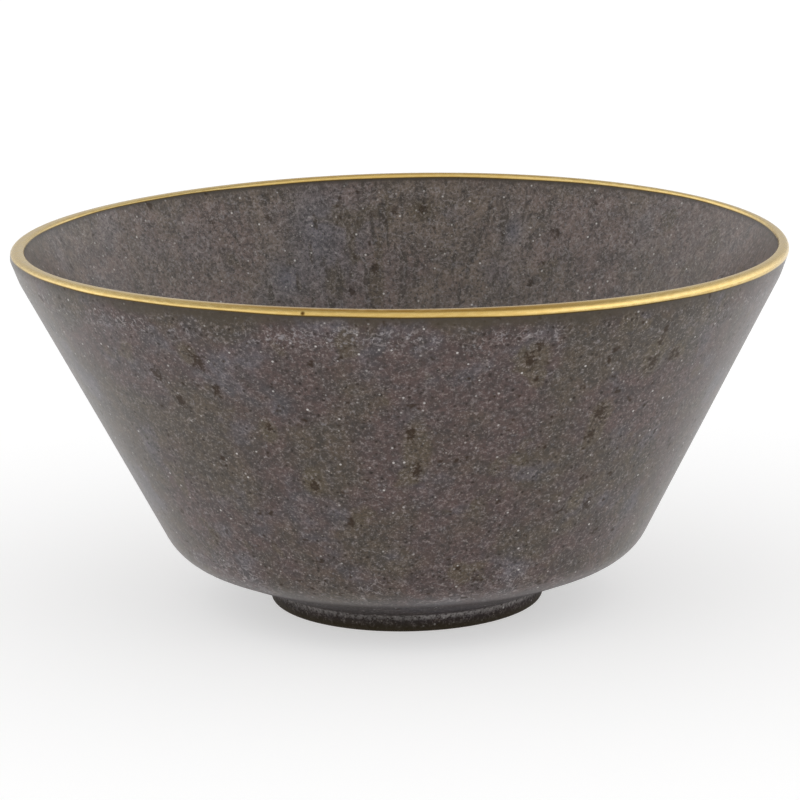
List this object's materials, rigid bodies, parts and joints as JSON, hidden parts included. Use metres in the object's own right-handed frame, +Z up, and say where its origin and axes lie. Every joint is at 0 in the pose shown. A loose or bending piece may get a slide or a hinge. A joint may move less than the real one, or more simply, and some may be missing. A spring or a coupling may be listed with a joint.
{
  "type": "bowl",
  "caption": "Wheel-thrown stoneware bowl with straight flaring walls, a rounded shoulder, a low turned foot ring and a gold-lustre lip.",
  "frame": {"origin": "centre of the foot ring's underside, on the surface that the bowl stands on", "axes": "+Z up along the bowl's axis, -Y towards the side that the picture shows, +X to its right"},
  "size_m": [0.2392, 0.2392, 0.1148],
  "materials": {
    "glaze": "satin, speckled grey-brown glaze with a line of fired-on gold lustre round the lip"
  },
  "bodies": {
    "root": {"bowl": "glaze"}
  },
  "joints": []
}
